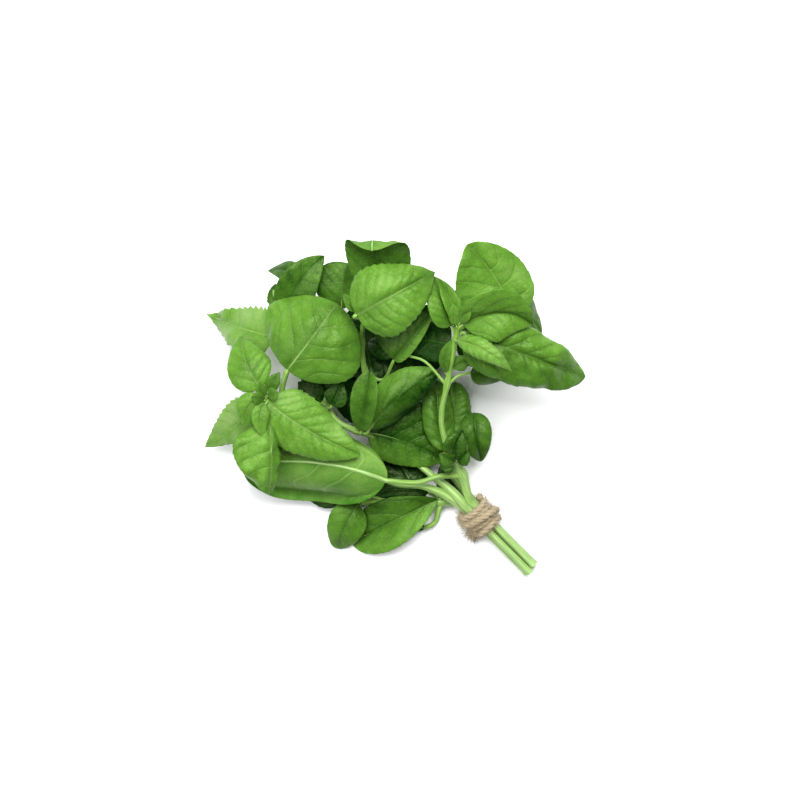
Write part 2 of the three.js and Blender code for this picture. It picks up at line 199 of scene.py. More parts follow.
# The blades. A shape holds a power for the base and one for the tip: near 1 is pointed, and lower is blunt.
EGG_SHAPE = (0.55, 0.85)
BLADE_THICKNESS = 0.42
EDGE_THINNING = 0.6
LEAST_HALF_WIDTH = 0.35
LEAST_TEETH = 6
TOOTH_SPACING = 7
VEIN_ARCH = 0.4
VEIN_GROOVE = 0.09
CRUMPLE_SPANS = (16, 6)
LARGE_LEAF_WIDTH = 46
PANEL_SPACING = 1.2
PANEL_SPACING_OF_SIZE = 2.6
LEAST_TOP_HEIGHT = 0.45
LEAST_BOTTOM_HEIGHT = 0.02
TABLE_CLEARANCE = 0.05
MESH_STEP = 0.6
ROW_LIMITS = (16, 110)
COLUMN_LIMITS = (6, 44)
ROW_CROWDING = 0.6

# A leaf's colour is painted lighter the higher it lies above this height, and darker below it: painted
# shading for the heart of the bunch, which less light reaches.
HEIGHT_OF_NO_PAINTED_SHADE = 37
PAINTED_SHADE_PER_HEIGHT = 0.018


@dataclass
class Leaf:
    """A leaf that leaves its stem at one of the stem's points. Lengths are millimetres, angles degrees.

    node numbers the stem's point, and via lists points that the stalk passes. The midrib runs from base to
    tip through mid. roll banks the blade, and twist adds to that towards the tip. fold is the slope of each
    half at the midrib, bend how much further it turns by its edge, and curl how much more the outermost
    quarter turns. uneven makes the right half wider than the left, wave ruffles the edge, and teeth cut it.
    veins counts the side veins and lean slants them. puff is how far the blade swells between its veins, and
    crumple how far it is out of true. tint makes it lighter, and darker below 0: partly the leaf's own tone
    and partly painted shading on leaves deep in the bunch. shade is painted shading that makes its right half
    darker and its left one lighter. stalk thickens its stalk, and face_down shows its underside.
    """

    node: int
    base: tuple
    mid: tuple
    tip: tuple
    width: float
    via: tuple = ()
    roll: float = 0
    twist: float = 0
    fold: float = 0
    bend: float = 0
    curl: float = 0
    wave: float = 0
    teeth: float = 0.012
    shape: tuple = EGG_SHAPE
    uneven: float = 0
    veins: float = 5
    lean: float = 0.7
    puff: float = 0.8
    crumple: float = 1.5
    tint: float = 0
    painted_light_and_shade: float = 0
    stalk: float = 1
    face_down: bool = False


def smooth_line(points, spacing):
    """Points a spacing apart on a centripetal Catmull-Rom curve."""
    points = [np.array(p, float) for p in points]
    ends = [2 * points[0] - points[1], *points, 2 * points[-1] - points[-2]]
    dense = []
    for four in zip(ends, ends[1:], ends[2:], ends[3:]):
        knots = np.cumsum([0] + [np.linalg.norm(b - a) ** 0.5 for a, b in zip(four, four[1:])])
        t = np.linspace(knots[1], knots[2], 16, endpoint=False)[:, None]

        def between(a, b, i, j):
            return ((knots[j] - t) * a + (t - knots[i]) * b) / (knots[j] - knots[i])

        a, b, c = (between(four[i], four[i + 1], i, i + 1) for i in range(3))
        dense.append(between(between(a, b, 0, 2), between(b, c, 1, 3), 1, 2))
    dense = np.vstack([*dense, points[-1][None]])
    run = np.append(0, np.cumsum(np.linalg.norm(np.diff(dense, axis=0), axis=1)))
    even = np.linspace(0, run[-1], max(4, round(run[-1] / spacing)) + 1)
    return np.column_stack([np.interp(even, run, dense[:, k]) for k in range(3)])


def midrib_of(leaf, t):
    """Points on the midrib and its directions there."""
    base, mid, tip = (np.array(p, float) for p in (leaf.base, leaf.mid, leaf.tip))
    control = 2 * mid - (base + tip) / 2
    t = np.asarray(t, float)[:, None]
    along = (1 - t) * (control - base) + t * (tip - control)
    points = (1 - t) ** 2 * base + 2 * t * (1 - t) * control + t**2 * tip
    return points, along / np.linalg.norm(along, axis=1, keepdims=True)


def frames_along(leaf, t):
    """The midrib's points, and the side and the face's normal at each."""
    points, along = midrib_of(leaf, t)
    upright = np.array([0.0, 0.0, 1.0])
    uprights = []
    for direction in along:
        upright = upright - direction * upright.dot(direction)
        upright /= np.linalg.norm(upright)
        uprights.append(upright)
    uprights = np.array(uprights)
    level = np.cross(along, uprights)
    bank = np.radians(leaf.roll + leaf.twist * t)[:, None]
    side = level * np.cos(bank) - uprights * np.sin(bank)
    normal = uprights * np.cos(bank) + level * np.sin(bank)
    return points, side, normal


def cushions(places, spacing, seed):
    """0 on the borders of random cells and towards 1 inside them, for places on a flat leaf."""
    flat = places.reshape(-1, 2)
    low, high = flat.min(axis=0) - spacing, flat.max(axis=0) + spacing
    count = np.ceil((high - low) / spacing).astype(int)
    cells = np.meshgrid(np.arange(count[0]), np.arange(count[1]), indexing="ij")
    grid = np.stack(cells, axis=-1).reshape(-1, 2)
    centres = low + (grid + np.random.default_rng(seed).uniform(0.1, 0.9, grid.shape)) * spacing
    nearest = np.sort(np.linalg.norm(flat[:, None] - centres[None], axis=2), axis=1)[:, :2]
    border = (nearest[:, 1] - nearest[:, 0]) / spacing
    return (1 - np.exp(-3 * border)).reshape(places.shape[:-1])


def resting(height, least):
    """Heights eased to stay above the least, as a leaf that reaches the table lies down on it."""
    above = height - least
    return least + np.where(above > 1, above, np.exp(np.minimum(above, 1) - 1))


def blade(leaf):
    """One leaf blade as points, faces and the values its finish reads."""
    length = np.linalg.norm(np.subtract(leaf.tip, leaf.base))
    rows = int(np.clip(length / MESH_STEP, *ROW_LIMITS))
    columns = 2 * int(np.clip(leaf.width / 2 / MESH_STEP, *COLUMN_LIMITS))
    even = np.linspace(0, 1, rows + 1)
    t = even + ROW_CROWDING * (even**2 * (3 - 2 * even) - even)
    v = np.linspace(-1, 1, columns + 1)
    middle, side, normal = frames_along(leaf, t)
    t = t[:, None]
    base_power, tip_power = leaf.shape
    widest = base_power / (base_power + tip_power)
    outline = t**base_power * (1 - t) ** tip_power / (widest**base_power * (1 - widest) ** tip_power)
    half = np.maximum(leaf.width / 2 * outline, LEAST_HALF_WIDTH)
    tooth = t * (LEAST_TEETH + length / TOOTH_SPACING) + 0.25 * np.sin(9 * t) + np.where(v > 0, 0, 0.4)
    toothed = 1 + leaf.teeth * (2 * (tooth % 1) - 1) * np.abs(v) ** 6
    out = np.abs(v) * half * (1 + leaf.uneven * np.sign(v)) * toothed

    # Each half turns as it goes outwards, so its section is summed from the midrib.
    turn = leaf.fold + leaf.bend * out / (leaf.width / 2) + leaf.curl * np.clip(4 * np.abs(v) - 3, 0, 1)
    angle = np.radians(turn)
    step = np.diff(np.sign(v) * out, axis=1)
    between = (angle[:, 1:] + angle[:, :-1]) / 2
    across = np.cumsum(np.column_stack([np.zeros(rows + 1), step * np.cos(between)]), axis=1)
    outwards = np.sign(v[1:] + v[:-1])
    rise = np.cumsum(np.column_stack([np.zeros(rows + 1), step * np.sin(between) * outwards]), axis=1)
    across -= across[:, columns // 2, None]
    rise -= rise[:, columns // 2, None]
    rise += leaf.wave * v**2 * np.sin(3 * math.pi * t + np.where(v > 0, 0, 1.3))
    facing = normal[:, None] * np.cos(angle)[..., None]
    facing = facing - side[:, None] * (np.sign(v) * np.sin(angle))[..., None]
    centre = middle[:, None] + side[:, None] * across[..., None] + normal[:, None] * rise[..., None]

    # Side veins leave the midrib and lean forward. The blade is drawn in along all of them.
    forward = leaf.lean * out * (0.8 + 0.4 * out / leaf.width) / length
    rough = [[[noise.noise(Vector(p) / span) for span in CRUMPLE_SPANS] for p in row] for row in centre]
    rough = np.array(rough)
    lateral = (t - forward + 0.04 * np.clip(3 * v, -1, 1)) * leaf.veins + 0.3 + 0.5 * rough[..., 0]
    from_vein = 0.5 - np.abs(lateral % 1 - 0.5)
    arch = 1 - (1 - 2 * from_vein) ** 2.2
    swell = VEIN_ARCH * arch + (1 - VEIN_ARCH) * (1 - np.exp(-from_vein / VEIN_GROOVE))
    from_midrib = 1 - np.exp(-out / (0.04 * leaf.width + 0.35))
    inside = (1 - np.abs(v) ** 5) * np.minimum(1, 5 * t * (1 - t) + 0.15)
    size = leaf.width / LARGE_LEAF_WIDTH
    flat_places = np.stack(np.broadcast_arrays(t * length, v * half), axis=-1)
    panels = cushions(flat_places, PANEL_SPACING + PANEL_SPACING_OF_SIZE * size, leaf.node)
    relief = inside * leaf.puff * size * from_midrib * (0.35 + 0.7 * swell + 0.25 * panels)
    relief = relief + 1.5 * leaf.crumple * min(1, leaf.width / 30) * (rough @ [1, 0.3]) * from_midrib
    centre = centre + facing * (relief * (-1 if leaf.face_down else 1))[..., None]
    thickness = (BLADE_THICKNESS / 2 * (1 - EDGE_THINNING * np.abs(v) ** 8))[None, :, None]
    top = centre + facing * thickness
    bottom = centre - facing * thickness
    for surface, least in ((top, LEAST_TOP_HEIGHT), (bottom, LEAST_BOTTOM_HEIGHT)):
        surface[..., 2] = resting(surface[..., 2], least)

    # Two grids of points, one for each face, are closed along their sides and ends.
    wide = columns + 1
    count = (rows + 1) * wide
    a = (np.arange(rows)[:, None] * wide + np.arange(columns)).ravel()
    upper_faces = np.column_stack([a, a + 1, a + 1 + wide, a + wide])
    left = np.arange(rows) * wide
    right = left + columns
    near = np.arange(columns)
    far = rows * wide + near
    faces = [
        upper_faces,
        upper_faces[:, ::-1] + count,
        np.column_stack([left, left + wide, left + wide + count, left + count]),
        np.column_stack([right + wide, right, right + count, right + wide + count]),
        np.column_stack([near + 1, near, near + count, near + 1 + count]),
        np.column_stack([far, far + 1, far + 1 + count, far + count]),
    ]
    # Painted shading: lower leaves are coloured darker, and the shade field darkens one half and lightens the
    # other.
    painted_depth_shade = PAINTED_SHADE_PER_HEIGHT * (centre[rows // 2, columns // 2, 2] - HEIGHT_OF_NO_PAINTED_SHADE)
    rib = out / ((0.012 * leaf.width + 0.25) * (1.25 - t))
    both = {
        "from_edge": 1 - np.broadcast_to(np.abs(v), out.shape),
        "from_rib": rib,
        "lateral": lateral,
        # painted shading in the furrows along the veins
        "painted_furrow_shade": 1 - from_midrib * (0.25 + 0.5 * swell + 0.25 * panels),
        "tint": np.broadcast_to(leaf.tint + painted_depth_shade - leaf.painted_light_and_shade * v, out.shape),
    }
    values = {key: np.tile(value.ravel(), 2) for key, value in both.items()}
    values["underside"] = np.repeat([1.0, 0.0] if leaf.face_down else [0.0, 1.0], count)
    return np.vstack([top.reshape(-1, 3), bottom.reshape(-1, 3)]), np.vstack(faces), values


def mesh_of(name, places, edges, faces, values):
    """A smooth mesh with one value of each kind for every point."""
    mesh = bpy.data.meshes.new(name)
    mesh.from_pydata(placed(places).tolist(), edges, faces)
    for key, numbers in values.items():
        attribute = mesh.attributes.new(key, "FLOAT", "POINT")
        attribute.data.foreach_set("value", np.asarray(numbers, np.float32))
    mesh.shade_smooth()
    return mesh


def joined(parts):
    """Several sets of points, faces and values as one."""
    shift = np.cumsum([0] + [len(places) for places, _, _ in parts])
    faces = [part[1] + start for part, start in zip(parts, shift)]
    values = {key: np.concatenate([part[2][key] for part in parts]) for key in parts[0][2]}
    return np.vstack([part[0] for part in parts]), np.vstack(faces), values


# The midrib, the side veins and the net of fine veins between them as masks: 1 on a vein and 0 off it.
vein_group, vein_in = group_of(
    "leaf_veins",
    "ShaderNodeTree",
    {"Side vein width": "Float", "Midrib width": "Float"},
    {"Midrib": "Float", "Side veins": "Float", "Net": "Float"},
)


def read(tree, name):
    """A value that the mesh carries."""
    return wire(tree, "ShaderNodeAttribute", attribute_name=name).outputs["Fac"]


def faded(tree, value, full, none):
    """1 where value is at full, 0 where it is at none, and smooth between."""
    inputs = {"Value": value, "From Min": full, "From Max": none, "To Min": 1.0, "To Max": 0.0}
    return wire(tree, "ShaderNodeMapRange", inputs, interpolation_type="SMOOTHSTEP").outputs["Result"]


midrib_mask = faded(vein_group, read(vein_group, "from_rib"), 0.0, vein_in["Midrib width"])
from_vein = sums(vein_group, "PINGPONG", read(vein_group, "lateral"), 0.5)
side_mask = faded(vein_group, from_vein, 0.0, vein_in["Side vein width"])
to_edge = wire(vein_group, "ShaderNodeMapRange", {"Value": read(vein_group, "from_edge"), "From Max": 0.3})
side_mask = sums(vein_group, "MULTIPLY", side_mask, to_edge.outputs["Result"])
position = wire(vein_group, "ShaderNodeTexCoord").outputs["Object"]
net_inputs = {"Vector": position, "Scale": 420.0}
net_cells = wire(vein_group, "ShaderNodeTexVoronoi", net_inputs, feature="DISTANCE_TO_EDGE")
net_mask = faded(vein_group, net_cells.outputs["Distance"], 0.0, 0.16)
wire(vein_group, "NodeGroupOutput", {"Midrib": midrib_mask, "Side veins": side_mask, "Net": net_mask})


def clouds_over(tree, scale, detail, place=None):
    """Smooth noise from 0 to 1, over the object itself where no other place is given."""
    if place is None:
        place = wire(tree, "ShaderNodeTexCoord").outputs["Object"]
    inputs = {"Vector": place, "Scale": scale, "Detail": detail}
    return wire(tree, "ShaderNodeTexNoise", inputs).outputs["Fac"]


def dress(shader, colour, roughness, height, strength, depth):
    """Links a shader's colour and roughness, and bumps its surface by a height, with a depth in metres."""
    tree = shader.id_data
    bump = wire(tree, "ShaderNodeBump", {"Height": height, "Strength": strength, "Distance": depth})
    tree.links.new(colour, shader.inputs["Base Color"])
    tree.links.new(roughness, shader.inputs["Roughness"])
    tree.links.new(bump.outputs["Normal"], shader.inputs["Normal"])


# A leaf's colour goes from dark to light green with its lightness, and to a pale one where it is lightest.
# Lightness is random tone, the leaf's own tint, and painted shading: darker in the vein furrows, on leaves
# low in the bunch and on one half of some leaves, lighter on the other half. The pale end is partly painted
# sheen. Its veins and its underside are paler.
leaf_finish, leaf_shader = finish_of(
    "basil_leaf",
    Specular_IOR_Level=0.2,
    Specular_Tint=(0.7, 1, 0.35, 1),
    Coat_Roughness=0.25,
    Subsurface_Weight=0.1,
    Subsurface_Radius=(0.35, 1.0, 0.08),
    Subsurface_Scale=0.0012,
)
leaf_tree = leaf_finish.node_tree
veins = wire(leaf_tree, "ShaderNodeGroup", {}, node_tree=vein_group)
veins.inputs["Side vein width"].default_value = 0.06
veins.inputs["Midrib width"].default_value = 1.3
patches = clouds_over(leaf_tree, 70.0, 4.0)
grain = clouds_over(leaf_tree, 900.0, 3.0)
lightness_and_painted_shading = sums(leaf_tree, "MULTIPLY_ADD", grain, 0.3, -0.15)
lightness_and_painted_shading = sums(leaf_tree, "MULTIPLY_ADD", patches, 0.9, lightness_and_painted_shading)
lightness_and_painted_shading = sums(leaf_tree, "ADD", lightness_and_painted_shading, 0.08)
# Painted shading: darker in the furrows along the veins.
lightness_and_painted_shading = sums(leaf_tree, "MULTIPLY_ADD", read(leaf_tree, "painted_furrow_shade"), -0.4, lightness_and_painted_shading)
# The leaf's tint, with painted shading by its height and on its halves.
lightness_and_painted_shading = sums(leaf_tree, "ADD", lightness_and_painted_shading, read(leaf_tree, "tint"))
# The pale end, partly painted sheen on the lightest leaves.
paleness_and_painted_sheen = faded(leaf_tree, lightness_and_painted_shading, 1.8, 0.85)
under = read(leaf_tree, "underside")
side_veins = sums(leaf_tree, "MULTIPLY", veins.outputs["Side veins"], 0.3)
midrib = sums(leaf_tree, "MULTIPLY", veins.outputs["Midrib"], 0.6)
upper_colour = blended(leaf_tree, lightness_and_painted_shading, linear("022600"), linear("507a26"))
upper_colour = blended(leaf_tree, paleness_and_painted_sheen, upper_colour, linear("7d965a"))
vein_colour = blended(leaf_tree, lightness_and_painted_shading, linear("1f4a04"), linear("7c9852"))
upper_colour = blended(leaf_tree, side_veins, upper_colour, vein_colour)
upper_colour = blended(leaf_tree, midrib, upper_colour, vein_colour)
under_colour = blended(leaf_tree, lightness_and_painted_shading, linear("24560a"), linear("688a3e"))
under_colour = blended(leaf_tree, side_veins, under_colour, linear("869f5c"))
under_colour = blended(leaf_tree, veins.outputs["Midrib"], under_colour, linear("b2c795"))
leaf_colour = blended(leaf_tree, under, upper_colour, under_colour)
leaf_rough = sums(leaf_tree, "MULTIPLY_ADD", patches, 0.15, 0.28)
leaf_rough = sums(leaf_tree, "MULTIPLY_ADD", under, 0.1, leaf_rough)
leaf_coat = sums(leaf_tree, "MULTIPLY_ADD", under, -0.04, 0.04, use_clamp=True)
leaf_tree.links.new(leaf_coat, leaf_shader.inputs["Coat Weight"])
net_height = sums(leaf_tree, "MULTIPLY", grain, 0.5)
net_height = sums(leaf_tree, "MULTIPLY_ADD", veins.outputs["Net"], -0.5, net_height)
net_height = sums(leaf_tree, "MULTIPLY_ADD", veins.outputs["Side veins"], -0.8, net_height)
dress(leaf_shader, leaf_colour, leaf_rough, net_height, strength=0.45, depth=0.0003)



def carried(tree, name, data_type="FLOAT"):
    """What the geometry's points carry under a name."""
    inputs = {"Name": name}
    return wire(tree, "GeometryNodeInputNamedAttribute", inputs, data_type=data_type).outputs["Attribute"]


def stored(tree, geometry, name, value, data_type="FLOAT"):
    """The geometry, with its points carrying a value under a name."""
    inputs = {"Geometry": geometry, "Name": name, "Value": value}
    kind = "GeometryNodeStoreNamedAttribute"
    return wire(tree, kind, inputs, data_type=data_type, domain="POINT").outputs["Geometry"]


def circle(tree, sides, radius=1.0):
    """A circle with so many sides."""
    inputs = {"Resolution": sides, "Radius": radius}
    return wire(tree, "GeometryNodeCurvePrimitiveCircle", inputs).outputs["Curve"]


def swept(tree, line, section, scale=1.0):
    """The closed mesh that a section makes along a line."""
    inputs = {"Curve": line, "Profile Curve": section, "Scale": scale, "Fill Caps": True}
    return wire(tree, "GeometryNodeCurveToMesh", inputs).outputs["Mesh"]


def give_out(tree, name, geometry, finish):
    """Makes the geometry one smooth mesh with a finish, and the group's output."""
    real = wire(tree, "GeometryNodeRealizeInstances", {"Geometry": geometry})
    smooth = wire(tree, "GeometryNodeSetShadeSmooth", {"Geometry": real.outputs["Geometry"]})
    inputs = {"Geometry": smooth.outputs["Geometry"], "Material": finish}
    wire(tree, "NodeGroupOutput", {name: wire(tree, "GeometryNodeSetMaterial", inputs).outputs["Geometry"]})


# A ridged stalk along each line of a mesh, as thick as the line says.
stalk_tree, stalk_in = group_of(
    "ridged_stalk",
    "GeometryNodeTree",
    {"Lines": "Geometry", "Sides": "Int", "Ridge depth": "Float", "Finish": "Material"},
    {"Stalks": "Geometry"},
)
stalk_lines = wire(stalk_tree, "GeometryNodeMeshToCurve", {"Mesh": stalk_in["Lines"]}).outputs["Curve"]
round_share = wire(stalk_tree, "GeometryNodeSplineParameter").outputs["Factor"]
ridge_angle = sums(stalk_tree, "MULTIPLY", round_share, 2 * math.pi * RIDGES)
ridge = sums(stalk_tree, "MULTIPLY", sums(stalk_tree, "COSINE", ridge_angle), stalk_in["Ridge depth"])
section_place = wire(stalk_tree, "GeometryNodeInputPosition").outputs["Position"]
ridged_place = vectors(stalk_tree, "SCALE", section_place, Scale=sums(stalk_tree, "ADD", ridge, 1.0))
section = wire(
    stalk_tree,
    "GeometryNodeSetPosition",
    {"Geometry": circle(stalk_tree, stalk_in["Sides"]), "Position": ridged_place},
)
section = stored(stalk_tree, section.outputs["Geometry"], "around", round_share)
stalks = swept(stalk_tree, stalk_lines, section, carried(stalk_tree, "thickness"))
give_out(stalk_tree, "Stalks", stalks, stalk_in["Finish"])


def grown(name, mesh, tree, **values):
    """The plain mesh that a tree grows on another one. Each value goes to the input of its name."""
    holder = linked(name, mesh)
    modifier = holder.modifiers.new("growth", "NODES")
    modifier.node_group = tree
    for socket in tree.interface.items_tree:
        key = socket.name.lower().replace(" ", "_")
        if key in values:
            modifier[socket.identifier] = values[key]
    result = bpy.data.meshes.new_from_object(holder.evaluated_get(bpy.context.evaluated_depsgraph_get()))
    bpy.data.objects.remove(holder)
    result.name = name

    # What would sink into the table lies on it.
    places = np.empty(3 * len(result.vertices), np.float32)
    result.vertices.foreach_get("co", places)
    places[2::3] = np.maximum(places[2::3], TABLE_CLEARANCE * MM)
    result.vertices.foreach_set("co", places)
    result.update()
    return result


def lines_mesh(name, lines):
    """A mesh of bare lines, each with the thickness and age of its points and the run along it up to them."""
    starts = np.cumsum([0] + [len(points) for points, _, _ in lines])
    edges = []
    for first, after in zip(starts, starts[1:]):
        edges.append(np.column_stack([np.arange(first, after - 1), np.arange(first + 1, after)]))
    values = {"thickness": [], "age": [], "run": []}
    for points, thickness, age in lines:
        steps = np.linalg.norm(np.diff(points, axis=0), axis=1)
        values["thickness"].append(np.broadcast_to(thickness, len(points)) * MM)
        values["age"].append(np.broadcast_to(age, len(points)))
        values["run"].append(np.append(0, np.cumsum(steps)) * MM)
    places = np.vstack([points for points, _, _ in lines])
    values = {key: np.concatenate(numbers) for key, numbers in values.items()}
    return mesh_of(name, places, np.vstack(edges).tolist(), [], values)


# A stem is yellow green where it is young and paler towards its cut end, with darker streaks along it.
stem_finish, stem_shader = finish_of(
    "basil_stem",
    Specular_IOR_Level=0.3,
    Coat_Weight=0.1,
    Coat_Roughness=0.3,
    Subsurface_Weight=0.25,
    Subsurface_Radius=(0.5, 1.0, 0.15),
    Subsurface_Scale=0.0015,
)
stem_tree = stem_finish.node_tree
around_angle = sums(stem_tree, "MULTIPLY", read(stem_tree, "around"), 2 * math.pi)
streak_place = wire(
    stem_tree,
    "ShaderNodeCombineXYZ",
    {
        "X": sums(stem_tree, "MULTIPLY", sums(stem_tree, "COSINE", around_angle), 2.2),
        "Y": sums(stem_tree, "MULTIPLY", sums(stem_tree, "SINE", around_angle), 2.2),
        "Z": sums(stem_tree, "MULTIPLY", read(stem_tree, "run"), 90.0),
    },
).outputs["Vector"]
streaks = clouds_over(stem_tree, 1.0, 4.0, streak_place)
streak_share = sums(stem_tree, "MULTIPLY", faded(stem_tree, streaks, 0.62, 0.38), 0.45)
clouds = clouds_over(stem_tree, 45.0, 2.0)
fresh_colour = blended(stem_tree, clouds, linear("5b871c"), linear("80a544"))
old_colour = blended(stem_tree, clouds, linear("7da250"), linear("adc987"))
stem_colour = blended(stem_tree, read(stem_tree, "age"), fresh_colour, old_colour)
stem_colour = blended(stem_tree, streak_share, stem_colour, linear("416a1c"))
stem_rough = sums(stem_tree, "MULTIPLY_ADD", streaks, 0.2, 0.35)
dress(stem_shader, stem_colour, stem_rough, streaks, strength=0.3, depth=0.0002)


def leaf_stalk(root, leaf):
    """The line of a leaf's stalk and, under the blade, of its midrib, with its thickness and age."""
    middle, _, normal = frames_along(leaf, RIB_PLACES)
    base, direction = midrib_of(leaf, [0.0])
    reach = np.linalg.norm(base[0] - root)
    via = [np.array(p, float) for p in leaf.via] or [base[0] - direction[0] * reach * STALK_STRAIGHT_SHARE]
    radius = leaf.stalk * (STALK_RADIUS + STALK_RADIUS_PER_WIDTH * leaf.width)
    stalk = smooth_line([root, *via, base[0]], STALK_SPACING)
    thickness = RIB_THICKNESS * radius
    rib = middle - thickness[:, None] * normal * (RIB_DEPTH_FACE_DOWN if leaf.face_down else RIB_DEPTH)
    rib[:, 2] = resting(rib[:, 2], LEAST_BOTTOM_HEIGHT + thickness)
    flare = radius * (1 + STALK_FLARE * (1 - np.linspace(0, 1, len(stalk))) ** 4)
    rib = smooth_line(rib, RIB_SPACING)
    rib_thickness = np.interp(np.linspace(0, 1, len(rib)), np.linspace(0, 1, len(thickness)), thickness)
    rib_age = 1 if leaf.face_down else STALK_AGE
    age = np.repeat([STALK_AGE, rib_age], [len(stalk) - 1, len(rib)])
    return np.vstack([stalk[:-1], rib]), np.append(flare[:-1], rib_thickness), age


def leafy_stem(name, line, leaves):
    """A leafy stem: its blades as one piece, and its stem, stalks and midribs as another.

    line is the stem's from its cut end to its growing tip, and each leaf leaves it a little below its node.
    """
    places, faces, values = joined([blade(leaf) for leaf in leaves])
    blades = linked(f"{name}_blades", mesh_of(f"{name}_blades", places, [], faces.tolist(), values))
    blades.data.materials.append(leaf_finish)
    points = smooth_line(line, STEM_SPACING)
    nodes = np.array([line[leaf.node] for leaf in leaves], float)
    nearest = np.min(np.linalg.norm(points[:, None] - nodes[None], axis=2), axis=1)
    share = np.linspace(0, 1, len(points))
    radius = STEM_RADIUS + (SHOOT_RADIUS - STEM_RADIUS) * share
    radius *= 1 + NODE_SWELLING * np.exp(-((nearest / NODE_REACH) ** 2))
    run = STEM_SPACING * np.arange(len(points))
    above_tie = SWELLING_ABOVE_TIE * np.exp(-(((run - SWELLING_RUN) / SWELLING_REACH) ** 2))
    radius *= 1 + CUT_FLARE * np.exp(-run / CUT_REACH) + above_tie
    stalks = [(points, radius, 1 - share)]
    for leaf in leaves:
        at, before = np.array(line[leaf.node], float), np.array(line[leaf.node - 1], float)
        stalks.append(leaf_stalk(at + (before - at) / np.linalg.norm(before - at), leaf))
    stem_mesh = grown(
        f"{name}_stem",
        lines_mesh(f"{name}_lines", stalks),
        stalk_tree,
        sides=STEM_SIDES,
        ridge_depth=RIDGE_DEPTH,
        finish=stem_finish,
    )
    stem = linked(f"{name}_stem", stem_mesh)
    for piece in (blades, stem):
        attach(piece, "root")
        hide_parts(name)


